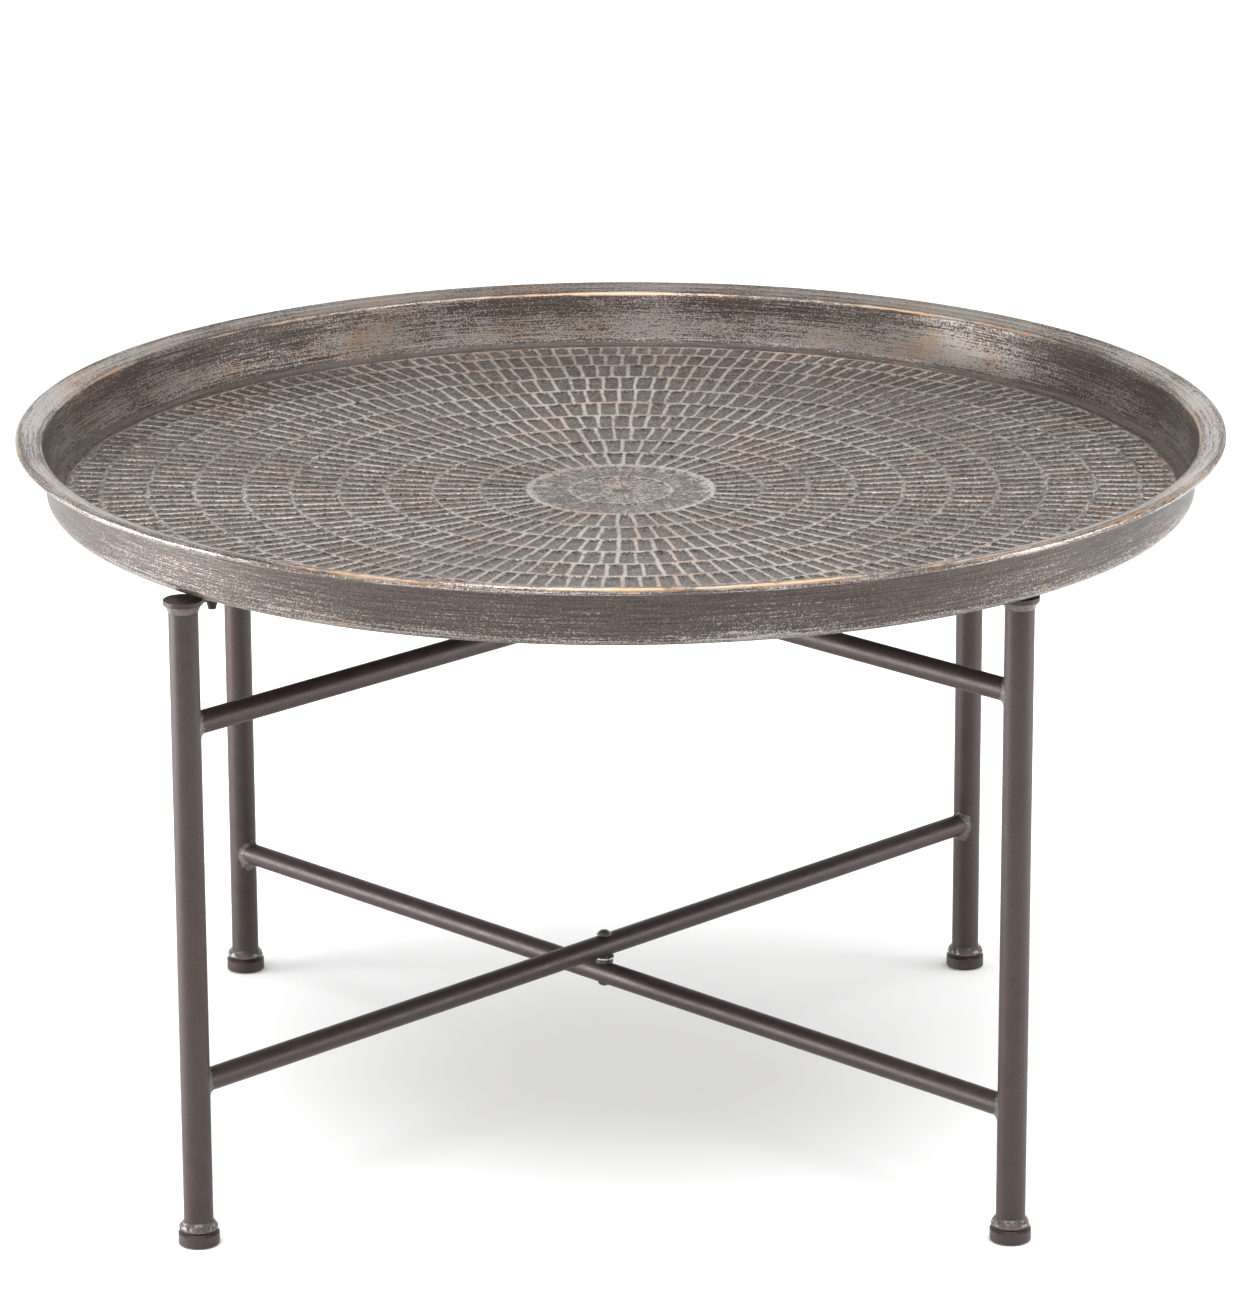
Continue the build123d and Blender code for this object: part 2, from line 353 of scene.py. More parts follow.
def rim_patina():
    t = surface("tray_rim_patina")
    p = t.coordinates()
    *direction, _ = t.from_axis()
    along = t.attribute("along")
    copper_line = t.attribute("ridge")
    # how far rubbed; on the inner wall and its corner this also carries painted light and shade
    rubbed = t.attribute("cell")

    def streaks(per_turn, per_metre, detail=2.0, rough=0.5):
        """Noise in lines that run around the rim."""
        return t.noise(t.polar(direction, per_turn, along, per_metre), 1.0, detail, rough)

    lines = streaks(9, 1150, 2.0, 0.6)
    dashes = streaks(34, 1500, 2.0, 0.6)
    hair = streaks(120, 1500, 1.0)
    cloud = t.noise(p, 22, 3.0, 0.6)
    wide = t.noise(p, 8)
    grain = t.noise(p, 1000, 1.0)

    # brushed metal that shows through a dark coat
    dark = t.mix(t.step(lines, 0.3, 0.7), (0.052, 0.041, 0.036), (0.112, 0.090, 0.079))
    dark = t.mix(t.step(grain, 0.50, 0.72, 0.0, 0.6), dark, (0.21, 0.18, 0.16))
    warm = t.step(t.add(t.times(cloud, 0.5), t.times(dashes, 0.5)), 0.52, 0.62, 0.0, 0.8)
    metal = t.mix(warm, (0.43, 0.395, 0.365), (0.44, 0.295, 0.20))
    amount = t.add(t.times(lines, 0.42), t.times(dashes, 0.34), t.times(hair, 0.24))
    amount = t.add(amount, t.swing(grain, 0.55), t.swing(wide, 0.50), t.swing(rubbed, 0.42))
    wear_and_painted_light = t.step(amount, 0.49, 0.68)
    colour = t.mix(wear_and_painted_light, dark, metal)

    # broken gold lines on the shoulder, the flange's ridge and the bead
    broken = t.add(t.swing(streaks(40, 500), 0.9), t.swing(streaks(3.2, 40), 1.9))
    edge = t.step(t.add(copper_line, broken), 0.55, 0.95)
    gold = t.mix(t.step(cloud, 0.35, 0.6), (0.40, 0.34, 0.28), (0.46, 0.30, 0.185))
    colour = t.mix(edge, colour, gold)

    # painted shade makes the underside of the flange and the wall's outside darker, and the corner at the
    # floor is duller
    outside = t.step(along, 0.080, 0.092, 0.0, 0.36)
    colour = t.mix(outside, colour, (0.022, 0.018, 0.016))
    corner_dull = t.step(along, 0.005, 0.009, 0.24, 0.0)
    shine = t.math("MAXIMUM", wear_and_painted_light, edge)
    t.set(Base_Color=colour, Metallic=t.step(shine, 0.0, 1.0, 0.65, 0.85), Specular_IOR_Level=0.4)
    t.set(Roughness=t.add(t.step(wear_and_painted_light, 0.0, 1.0, 0.40, 0.28), t.times(edge, 0.10), corner_dull))
    t.bump(t.add(dashes, lines, t.times(grain, 0.8)), 0.4, 0.0003)
    return t.owner


def under_patina():
    t = surface("tray_under_patina")
    p = t.coordinates()
    medium = t.noise(p, 60, 4.0, 0.6)
    fine = t.noise(p, 900, 2.0, 0.6)
    broad = t.noise(p, 9)
    colour = t.mix(t.step(medium, 0.3, 0.7), (0.050, 0.043, 0.038), (0.095, 0.083, 0.073))
    specks = t.step(t.add(fine, t.times(broad, 0.4)), 0.72, 0.92, 0.0, 0.5)
    colour = t.mix(specks, colour, (0.20, 0.175, 0.15))
    t.set(Base_Color=colour, Metallic=0.35, Specular_IOR_Level=0.35)
    t.set(Roughness=t.step(medium, 0.3, 0.7, 0.46, 0.60))
    t.bump(t.add(fine, medium), 0.3, 0.0003)
    return t.owner


def frame_paint():
    t = surface("frame_paint_coat")
    p = t.coordinates()
    grain = t.noise(p, 1300, 2.0, 0.6)
    mottle = t.noise(p, 90, 3.0, 0.6)
    broad = t.noise(p, 12)
    colour = t.mix(t.step(mottle, 0.3, 0.7), (0.032, 0.0195, 0.017), (0.045, 0.028, 0.0245))
    colour = t.mix(t.step(broad, 0.35, 0.65, 0.0, 0.5), colour, (0.040, 0.028, 0.0235))
    colour = t.mix(t.step(grain, 0.52, 0.72, 0.0, 0.35), colour, (0.100, 0.073, 0.065))
    t.set(Base_Color=colour, Metallic=0.35, Specular_IOR_Level=0.5)
    t.set(Roughness=t.step(mottle, 0.3, 0.7, 0.42, 0.52))
    t.bump(t.add(grain, t.times(mottle, 0.5)), 0.25, 0.0002)
    return t.owner


def weld_paint():
    t = surface("weld_paint_coat")
    p = t.coordinates()
    lumps = t.noise(p, 420, 3.0, 0.6)
    grain = t.noise(p, 1500)
    colour = t.mix(t.step(lumps, 0.35, 0.65), (0.075, 0.065, 0.058), (0.112, 0.098, 0.088))
    t.set(Base_Color=colour, Metallic=0.35, Specular_IOR_Level=0.6)
    t.set(Roughness=t.step(grain, 0.35, 0.65, 0.24, 0.36))
    t.bump(t.add(lumps, t.times(grain, 0.3)), 0.5, 0.0005)
    return t.owner


def plain(name, colours, scale, metallic, rough, bump, specular=0.5):
    """A moulded or plated surface: two near colours in a fine noise, with a matching roughness."""
    t = surface(name)
    p = t.coordinates()
    spots = t.noise(p, scale, 3.0, 0.6)
    fine = t.noise(p, scale * 5)
    colour = t.mix(t.step(spots, 0.35, 0.65), *colours)
    t.set(Base_Color=colour, Metallic=metallic, Specular_IOR_Level=specular)
    t.set(Roughness=t.step(fine, 0.3, 0.7, *rough))
    t.bump(t.add(fine, spots), bump, 0.0002)
    return t.owner


FLOOR, RIM, UNDER = floor_patina(), rim_patina(), under_patina()
PAINT, WELD = frame_paint(), weld_paint()
RUBBER_COLOURS = (0.012, 0.012, 0.012), (0.024, 0.023, 0.022)
PLASTIC_COLOURS = (0.016, 0.016, 0.016), (0.030, 0.029, 0.028)
RIVET_COLOURS = (0.070, 0.062, 0.056), (0.115, 0.100, 0.090)
ZINC_COLOURS = (0.38, 0.375, 0.36), (0.56, 0.55, 0.53)
WIRE_COLOURS = (0.34, 0.33, 0.31), (0.50, 0.49, 0.47)

BY_SLOT = {
    "frame_paint": PAINT,
    "bumper_rubber": plain("bumper_rubber_moulded", RUBBER_COLOURS, 300, 0.0, (0.62, 0.78), 0.3, 0.3),
    "black_plastic": plain("black_plastic_moulded", PLASTIC_COLOURS, 260, 0.0, (0.38, 0.52), 0.2),
    "rivet_steel": plain("rivet_steel_coat", RIVET_COLOURS, 350, 0.4, (0.26, 0.38), 0.3),
    "washer_steel": plain("washer_steel_zinc", ZINC_COLOURS, 400, 0.9, (0.28, 0.42), 0.25),
    "rim_wire_steel": plain("rim_wire_steel_drawn", WIRE_COLOURS, 500, 0.9, (0.3, 0.45), 0.2),
    "tray_patina": UNDER,
}
for part in frame["record"]["subparts"]:
    for slot in nodes[part["node"]].material_slots:
        slot.material = BY_SLOT[part["material_slot"]]


# ---------------------------------------------------------------- the tray's sheet
CELL_COUNTS = (44, 60, 77, 93, 110, 128, 146, 163, 179, 194)
RING_EDGES_MM = (63.5, 94.8, 126.1, 157.4, 188.8, 220.2, 251.6, 283.2, 314.6, 345.2, 367.6)
RING_EDGES = tuple(radius * MM for radius in RING_EDGES_MM)
EDGE_RADIUS = 369.7 * MM
RIDGE_HEIGHT = 1.0 * MM
# how far a ridge's sides spread on their way down
RIDGE_FOOT = 1.0 * MM
RIM_SEGMENTS, MIDDLE_SEGMENTS, UNDER_SEGMENTS = 208, 120, 96
FLOOR_SLOT, RIM_SLOT, UNDER_SLOT = 0, 1, 2

# rows of a ring of cells: distance from its inner edge, how far they follow the cells' inner and
# outer ends, and where they run. The distances suit a ring ROW_SPAN wide, and rows past MID_ROW are
# moved out with the ring's outer edge.
LINE, CORNER, CELL = "on the line between rings", "at the cells' corners", "in the cells"
ROW_SPAN = 30.3 * MM
MID_ROW = 15 * MM
TOP_ROWS = (
    (0.35 * MM, 0, 0, LINE),
    (0.80 * MM, 1, 0, LINE),
    (1.90 * MM, 1, 0, CORNER),
    (10.0 * MM, 0, 0, CELL),
    (20.3 * MM, 0, 0, CELL),
    (27.60 * MM, 0, 1, CORNER),
    (28.75 * MM, 0, 1, LINE),
    (29.30 * MM, 0, 0, LINE),
)
UNDER_ROWS = (
    (0.45 * MM, 0, 0, LINE),
    (2.45 * MM, 1, 0, CELL),
    (27.85 * MM, 0, 1, CELL),
    (29.85 * MM, 0, 0, LINE),
)
# columns of one cell: its ridge, the side "a" after it, the middle "m", and the side "b" before the
# next ridge, with how far they lie down that side, or across the middle
TOP_COLUMNS = (("ridge", 0), ("a", 0), ("a", 1), ("m", 0.34), ("m", 0.66), ("b", 1), ("b", 0))
UNDER_COLUMNS = (("ridge", 0), ("a", 0.6), ("b", 0.6))
# a cell's inner end is arched: how far each column of its first rows lies towards the axis
ARCH = {
    ("ridge", 0): -0.25 * MM,
    ("a", 1): 0.25 * MM,
    ("m", 0.34): 0.75 * MM,
    ("m", 0.66): 0.75 * MM,
    ("b", 1): 0.25 * MM,
}
ARCH_ROWS, FIRST_ROW, FIRST_ROW_ARCH = 5 * MM, 0.5 * MM, 0.55
# the lines between rings get more of the light paint at the tray's front and back than at its sides: a
# painted highlight where light catches their slopes
LINE_HIGHLIGHT_SIDE_SHARE = 0.68

rng = np.random.default_rng(11)


def wobble(rng, count, waves, size):
    """A smooth closed random curve of count sine waves, each with 2 to waves - 1 periods a turn."""
    periods = rng.integers(2, waves, count)
    phase = rng.uniform(0, TURN, count)
    amount = rng.normal(0, size / math.sqrt(count), count)

    def curve(angle):
        turns = periods[:, None] * np.asarray(angle)[None, :]
        return (amount[:, None] * np.sin(turns + phase[:, None])).sum(0)

    return curve


boundaries = [wobble(rng, 14, max(6, n // 2), 0.55 * MM) for n in CELL_COUNTS + (180,)]


def make_ring(index):
    """Random but fixed shape of one ring of cells: where its ridges stand and how wide they are."""
    n = CELL_COUNTS[index]
    pitch = TURN / n
    start = rng.uniform(0, pitch)
    return {
        "n": n,
        "angle": start + pitch * (np.arange(n) + rng.uniform(-0.07, 0.07, n)),
        "slant": rng.normal(0, 0.45, n) * MM,
        "bow": rng.normal(0, 0.35, n) * MM,
        "snake": rng.normal(0, 0.22, n) * MM,
        "half_in": rng.uniform(0.6, 1.15, n) * MM,
        "half_out": rng.uniform(0.7, 1.3, n) * MM,
        "end_in": rng.uniform(-0.25, 0.9, n) * MM,
        "end_out": rng.uniform(-0.25, 0.9, n) * MM,
        "depth": rng.uniform(-0.14, 0.10, n),
        "tone": rng.uniform(0, 1, n),
        "top": rng.uniform(0.86, 1.08, n),
    }


def column_height(ring, kind, f, where):
    """Height of one column of a row, in ridge heights above the cells' even floor."""
    if where == LINE:
        return 0.97 if kind == "ridge" else 0.90
    if kind == "ridge":
        return 1.06 * ring["top"]
    if f == 0:
        return 0.93 * (np.roll(ring["top"], -1) if kind == "b" else ring["top"])
    if kind == "m":
        middle = ring["depth"] - 0.05
        return middle + 0.05 if where == CORNER else middle
    return 0.30 if where == CORNER else ring["depth"]


def ring_rows(sheet, index, ring, rows, columns, level, relief):
    """Add one ring of cells row by row from its inner edge, at a level, with its relief scaled."""
    n = ring["n"]
    inner = RING_EDGES[index]
    length = RING_EDGES[index + 1] - inner
    here = np.arange(n)
    after = np.roll(here, -1)
    wrap = np.where(after == 0, TURN, 0.0)
    arch = np.tile([ARCH.get(column, 0.0) for column in columns], n)
    made = []
    for offset, from_in, from_out, where in rows:
        if offset > MID_ROW:
            offset += length - ROW_SPAN
        base = offset + from_in * ring["end_in"] - from_out * ring["end_out"]
        share = base / length
        middle = inner + offset

        def side(which):
            """How far a ridge stands off its even place, and half its width, as angles."""
            shift = ring["slant"][which] * (share - 0.5) + ring["bow"][which] * np.sin(np.pi * share)
            shift = shift + ring["snake"][which] * np.sin(2 * np.pi * share)
            half = ring["half_in"][which] * (1 - share) + ring["half_out"][which] * share
            return shift / middle, half / middle

        shift_a, half_a = side(here)
        shift_b, half_b = side(after)
        a = ring["angle"] + shift_a
        b = ring["angle"][after] + wrap + shift_b
        foot = RIDGE_FOOT / middle
        angles = []
        for kind, f in columns:
            if kind == "ridge":
                angles.append(a)
            elif kind == "a":
                angles.append(a + half_a + f * foot)
            elif kind == "b":
                angles.append(b - half_b - f * foot)
            else:
                left, right = a + half_a + foot, b - half_b - foot
                angles.append(left + f * (right - left))
        angle = np.stack(angles, 1).ravel()
        joined = 0.5 * (base + np.roll(base, 1))
        end = np.stack([joined if kind == "ridge" else base for kind, _ in columns], 1).ravel()
        share_out = end / length
        if offset < ARCH_ROWS:
            end = end - arch * (FIRST_ROW_ARCH if offset < FIRST_ROW else 1.0)
        uneven = boundaries[index](angle) * (1 - share_out) + boundaries[index + 1](angle) * share_out
        radius = inner + end + uneven
        heights = [np.broadcast_to(column_height(ring, kind, f, where), n) for kind, f in columns]
        height = np.stack(heights, 1).ravel()
        ridge = np.clip(height, 0, 1)
        # painted highlight: the lines between rings are lighter at the tray's front and back than at their
        # sides
        if where == LINE:
            ridge = ridge * (LINE_HIGHLIGHT_SIDE_SHARE + (1 - LINE_HIGHLIGHT_SIDE_SHARE) * np.sin(angle) ** 2)
        tone = np.repeat(ring["tone"], len(columns))
        z = level - dip(radius) + RIDGE_HEIGHT * height * relief
        made.append(sheet.ring(angle, radius, z, ridge=ridge, cell=tone))
    return made


# ---------------------------------------------------------------- the wall, flange and rolled rim
FLANGE_SLOPE, WALL_FLARE, ROLL_SWEEP = math.radians(18), math.radians(5.5), math.radians(285)
FLANGE_WIDTH = 12.5 * MM
ROLL_RADIUS, SHOULDER_RADIUS, CORNER_RADIUS = 2.1 * MM, 3.0 * MM, 5.4 * MM
# across the flange: how far out, height of a shallow groove or ridge in mm, copper, how far rubbed
FLANGE_ROWS = (
    (0.12, 0.0, 0.10, 0.75),
    (0.30, -0.10, 0.0, 0.85),
    (0.42, 0.0, 0.05, 0.70),
    (0.50, 0.28, 0.15, 1.0),
    (0.58, 0.0, 0.05, 0.75),
    (0.74, -0.22, 0.0, 0.85),
    (0.90, -0.05, 0.0, 0.75),
)
# how far the floor's corner at the wall is rubbed; the low values in its middle are painted shade in the
# corner
CORNER_WEAR_AND_SHADE = (0.3, 0.1, 0.0, 0.1, 0.4, 0.65)
WALL_RUBBED = ((0.2, 0.72), (0.4, 0.68), (0.6, 0.58), (0.8, 0.46))
SHOULDER_COPPER = (0.1, 0.35, 0.68, 0.80, 0.62, 0.3)
ROLL_COPPER = (0.2, 0.5, 0.72, 0.8, 0.72, 0.5, 0.25, 0.1, 0, 0, 0, 0, 0, 0, 0)
OUTER_WALL_RUBBED = ((0.8, 0.16), (0.6, 0.30), (0.4, 0.38), (0.2, 0.36))
OUTER_CORNER = ((0, 0.55), (0.05, 0.7), (0.15, 0.75), (0.1, 0.6), (0, 0.4), (0, 0.3))
# the inner wall and its corner are painted lighter at the tray's front and back and darker at its sides:
# painted light and shade added to their wear
WALL_PAINTED_LIGHT_SWING, WALL_PAINTED_LIGHT_CUT = 0.22, 0.14


def rim_profile():
    """Both faces of the sheet from the floor's edge, over the rim and back to the underside.

    Each row is its zone, radius, height, distance along the profile, copper and how far rubbed; in the
    corner, low values of the last are painted shade.
    """
    half = SHEET / 2
    out = Vector((math.cos(FLANGE_SLOPE), math.sin(FLANGE_SLOPE)))
    up = Vector((-math.sin(FLANGE_SLOPE), math.cos(FLANGE_SLOPE)))
    bead = ROLL_RADIUS + half
    roll_centre = Vector((TRAY_RADIUS - bead, RIM_TOP - bead))
    flange_high = roll_centre + up * ROLL_RADIUS
    flange_low = flange_high - out * FLANGE_WIDTH
    shoulder_centre = flange_low - up * SHOULDER_RADIUS
    wall_normal = Vector((math.cos(math.pi - WALL_FLARE), math.sin(math.pi - WALL_FLARE)))
    wall_high = shoulder_centre + wall_normal * SHOULDER_RADIUS
    wall_low_z = UNDERSIDE + half + CORNER_RADIUS - CORNER_RADIUS * math.sin(WALL_FLARE)
    wall_length = (wall_high.y - wall_low_z) / math.cos(WALL_FLARE)
    wall_low = wall_high + Vector((-math.sin(WALL_FLARE), -math.cos(WALL_FLARE))) * wall_length
    corner_centre = wall_low + wall_normal * CORNER_RADIUS
    straight_down, flange_up, wall_in = -math.pi / 2, math.pi / 2 + FLANGE_SLOPE, math.pi - WALL_FLARE
    roll_end = flange_up - ROLL_SWEEP

    def arc(centre, radius, start, end, count):
        return [centre + radius * Vector((math.cos(a), math.sin(a))) for a in np.linspace(start, end, count)]

    top = []
    corner = arc(corner_centre, CORNER_RADIUS - half, straight_down, -WALL_FLARE, 6)
    top += [("corner", p, 0.0, rubbed) for p, rubbed in zip(corner, CORNER_WEAR_AND_SHADE)]
    for f, rubbed in WALL_RUBBED:
        top.append(("wall", wall_low.lerp(wall_high, f) + wall_normal * half, 0.0, rubbed))
    shoulder = arc(shoulder_centre, SHOULDER_RADIUS + half, wall_in, flange_up, 6)
    top += [("shoulder", p, copper, 0.5) for p, copper in zip(shoulder, SHOULDER_COPPER)]
    for f, lift, copper, rubbed in FLANGE_ROWS:
        place = flange_low.lerp(flange_high, f) + up * (half + lift * MM)
        top.append(("flange", place, copper, rubbed))
    roll = arc(roll_centre, bead, flange_up, roll_end, 15)
    top += [("roll", p, copper, 0.6) for p, copper in zip(roll, ROLL_COPPER)]

    under = arc(roll_centre, ROLL_RADIUS - half, roll_end, flange_up, 7)
    under += [flange_low.lerp(flange_high, f) - up * half for f in (0.66, 0.33)]
    under += arc(shoulder_centre, SHOULDER_RADIUS - half, flange_up, wall_in, 4)
    under = [("under", p, 0.0, 0.3) for p in under]
    for f, rubbed in OUTER_WALL_RUBBED:
        under.append(("under", wall_low.lerp(wall_high, f) - wall_normal * half, 0.0, rubbed))
    outer_corner = arc(corner_centre, CORNER_RADIUS + half, -WALL_FLARE, straight_down, 6)
    under += [("under", p, copper, rubbed) for p, (copper, rubbed) in zip(outer_corner, OUTER_CORNER)]

    rows, distance, last = [], 0.0, None
    for zone, p, copper, rubbed in top + under:
        if last is not None:
            distance += (p - last).length
        rows.append((zone, p.x, p.y, distance, copper, rubbed))
        last = p
    return rows


# rows of the plain middle: radius in mm, height in ridge heights, how far rubbed. The middle is a
# plain disc, a thin raised ring, a plain ring and the rise to the first ring of cells.
MIDDLE_ROWS = (
    (7, 0, 0.66),
    (15, 0.02, 0.64),
    (24, -0.03, 0.60),
    (30.0, 0.0, 0.56),
    (32.2, 0.05, 0.55),
    (33.2, 0.5, 0.8),
    (34.0, 0.62, 0.95),
    (34.9, 0.45, 0.75),
    (36.2, 0.0, 0.5),
    (43, -0.05, 0.46),
    (52, 0.0, 0.50),
    (58.2, 0.05, 0.62),
    (60.6, 0.65, 0.9),
    (62.4, 0.85, 1.0),
)
# the same on the underside, from its outside in: radius in mm and height in ridge heights
UNDER_MIDDLE_ROWS = ((61.5, 0.1), (37.0, 0.0), (34.7, 0.5), (32.4, 0.0), (16.0, 0.0))
DISC_EDGE_MM = 30
DISC_UNEVEN = 0.3


def even_angles(count):
    return np.arange(count) / count * TURN


def add_middle(sheet):
    """The plain middle of the floor, from the axis outwards. Returns its last row."""
    around = even_angles(MIDDLE_SEGMENTS)
    uneven = wobble(rng, 8, 9, 0.5 * MM)
    last = None
    for r, h, rubbed in MIDDLE_ROWS:
        speck = rng.uniform(0, 1, MIDDLE_SEGMENTS)
        radius = r * MM + uneven(around) * (1 if r > DISC_EDGE_MM else DISC_UNEVEN)
        height = h + rng.normal(0, 0.04, MIDDLE_SEGMENTS)
        ridge = np.clip(rubbed + rng.normal(0, 0.12, MIDDLE_SEGMENTS), 0, 1)
        z = FLOOR_TOP - dip(radius) + RIDGE_HEIGHT * height
        row = sheet.ring(around, radius, z, ridge=ridge, cell=speck)
        if last is None:
            sheet.centre(FLOOR_TOP - FLOOR_SAG, row, FLOOR_SLOT)
        else:
            sheet.strip(last, row, FLOOR_SLOT, flip=True)
        last = row
    return last


def add_cells(sheet, last, rings, slot):
    """Rings of cells, each a list of rows, joined to the row before them. Returns the last row."""
    for rows in rings:
        sheet.zip(last, rows[0], slot, flip=True)
        for a, b in zip(rows, rows[1:]):
            sheet.strip(a, b, slot, flip=True)
        last = rows[-1]
    return last


def add_rim(sheet, last):
    """The floor's plain edge, then up the wall, over the rim and back under it."""
    around = even_angles(RIM_SEGMENTS)
    edge = wobble(rng, 10, 60, 0.4 * MM)
    rise, foot = (sheet.zip, 368.4 * MM, 0.75, 0.75), (sheet.strip, EDGE_RADIUS, 0.05, 0.1)
    for join, radius, h, ridge in (rise, foot):
        speck = rng.uniform(0, 1, RIM_SEGMENTS)
        row = sheet.ring(around, radius + edge(around), FLOOR_TOP + RIDGE_HEIGHT * h, ridge=ridge, cell=speck)
        join(last, row, FLOOR_SLOT, flip=True)
        last = row
    wave = wobble(rng, 16, 70, 0.35 * MM)
    dent = wobble(rng, 8, 24, 0.12 * MM)
    slot = FLOOR_SLOT
    for zone, r, z, along, copper, rubbed in rim_profile():
        # painted light and shade: the wall and its corner lighter at the front and back, darker at the sides
        if zone in ("corner", "wall"):
            rubbed = rubbed + WALL_PAINTED_LIGHT_SWING * np.sin(around) ** 2 - WALL_PAINTED_LIGHT_CUT
        if zone == "flange":
            r = r + wave(around)
        elif zone == "wall":
            r = r + dent(around) * 0.5
        row = sheet.ring(around, r, z, ridge=copper, cell=rubbed, along=along)
        sheet.strip(last, row, slot, flip=True)
        last, slot = row, RIM_SLOT
    return last


def build_tray():
    sheet = Sheet()
    rings = [make_ring(i) for i in range(len(CELL_COUNTS))]
    last = add_middle(sheet)
    top = (ring_rows(sheet, i, ring, TOP_ROWS, TOP_COLUMNS, FLOOR_TOP, 1) for i, ring in enumerate(rings))
    last = add_cells(sheet, last, top, FLOOR_SLOT)
    last = add_rim(sheet, last)

    # the underside, where the hammered lines show in a lower relief
    level = UNDERSIDE + BUMPER_GAP
    row = sheet.ring(even_angles(RIM_SEGMENTS), EDGE_RADIUS, level)
    sheet.strip(last, row, UNDER_SLOT, flip=True)
    backwards = reversed(list(enumerate(rings)))
    under = (ring_rows(sheet, i, ring, UNDER_ROWS, UNDER_COLUMNS, level, 0.8)[::-1] for i, ring in backwards)
    last = add_cells(sheet, row, under, UNDER_SLOT)
    join = sheet.zip
    for r, h in UNDER_MIDDLE_ROWS:
        height = UNDERSIDE - dip(r * MM) + RIDGE_HEIGHT * h
        row = sheet.ring(even_angles(UNDER_SEGMENTS), r * MM, height)
        join(last, row, UNDER_SLOT, flip=True)
        last, join = row, sheet.strip
    sheet.centre(UNDERSIDE - FLOOR_SAG, last, UNDER_SLOT, flip=True)
    return sheet.build("tray_sheet", (FLOOR, RIM, UNDER))


tray = build_tray()
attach(tray, "tray")
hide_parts("tray")


# ---------------------------------------------------------------- welds
WELD_STEPS = 72
# how far a fillet's face stays off its corner: 0 is right in it, 0.5 is a flat face
SLACK = 0.19
# a fillet's size in mm at its top, how much more it has underneath, its least share of that
# between lumps, and how far it runs along the rail as a share of its size
BEAD_SIZE, BEAD_SAG, BEAD_LEAST = 2.3, 1.9, 0.7
ON_RAIL = 0.85


def axis_of(node):
    """Where an upright or central CAD piece has its axis, at z 0, and half its width."""
    low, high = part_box(node)
    return Vector(((low.x + high.x) / 2, (low.y + high.y) / 2, 0)), (high.x - low.x) / 2


def rail_weld(name, leg, rail, body, seed):
    """A fillet weld that follows the line where a rail's end meets its leg."""
    rnd = np.random.default_rng(seed)
    foot_point, leg_radius = axis_of(leg)
    low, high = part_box(rail)
    height, rail_radius = (low.z + high.z) / 2, (high.z - low.z) / 2
    hub, _ = axis_of(rail)
    inward = (hub - foot_point).normalized()
    across = Vector((-inward.y, inward.x, 0))
    rise = Vector((0, 0, 1))
    bead = wobble(rnd, 10, 22, 0.28)
    sections = []
    angles = even_angles(WELD_STEPS)
    lumps = 1 + bead(angles)
    for angle, lump in zip(angles, lumps):
        c, s = math.cos(angle), math.sin(angle)
        size = (BEAD_SIZE + BEAD_SAG * (0.5 - 0.5 * s) ** 1.5) * MM * max(BEAD_LEAST, lump)
        on_leg = min(size, 0.95 * leg_radius / max(abs(c), 1e-6) - rail_radius)
        on_rail = size * ON_RAIL

        def at(distance, radius):
            return foot_point + inward * distance + across * (radius * c) + rise * (height + radius * s)

        def leg_face(radius):
            return math.sqrt(max(leg_radius**2 - (radius * c) ** 2, 0.0))

        root = leg_face(rail_radius)
        a = (root + on_rail, rail_radius)
        b_radius = rail_radius + max(on_leg, 0.4 * MM)
        b = (leg_face(b_radius), b_radius)
        corner = (root, rail_radius)
        # the face is a curve from a to b, pulled in towards the corner
        pull = [c0 * (1 - 2 * SLACK) + SLACK * (a0 + b0) for c0, a0, b0 in zip(corner, a, b)]
        section = []
        for t in np.linspace(0, 1, 8):
            w0, w1, w2 = (1 - t) ** 2, 2 * t * (1 - t), t * t
            section.append(at(*(w0 * a0 + w1 * p0 + w2 * b0 for a0, p0, b0 in zip(a, pull, b))))
        section.append(at(b[0] - 0.35 * MM, b[1] - 0.1 * MM))
        section.append(at(corner[0] - 0.4 * MM, corner[1] - 0.4 * MM))
        section.append(at(a[0] - 0.1 * MM, a[1] - 0.35 * MM))
        sections.append([tuple(p) for p in section])
    piece = loop_mesh(name, sections, WELD)
    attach(piece, body)


def ring_weld(name, leg, rows, body, seed, size):
    """A lumpy weld round a leg, with a closed section.

    rows go round the section: the distance out from the leg's face in mm, the height, and how far
    lumps move them. Rows that go down the outside give faces that point outwards.
    """
    rnd = np.random.default_rng(seed)
    centre, leg_radius = axis_of(leg)
    angles = even_angles(WELD_STEPS)
    lumps = [wobble(rnd, 12, 16, size) for _ in rows]
    values = [np.clip(f(angles), -1.5 * size, 1.8 * size) for f in lumps]
    sections = []
    for i, angle in enumerate(angles):
        section = []
        for (out, z, free), value in zip(rows, values):
            r = leg_radius + (out + free * value[i]) * MM
            x, y = centre.x + r * math.cos(angle), centre.y + r * math.sin(angle)
            section.append((x, y, z + 0.5 * free * value[i] * MM))
        sections.append(section)
    piece = loop_mesh(name, sections, WELD)
    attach(piece, body)


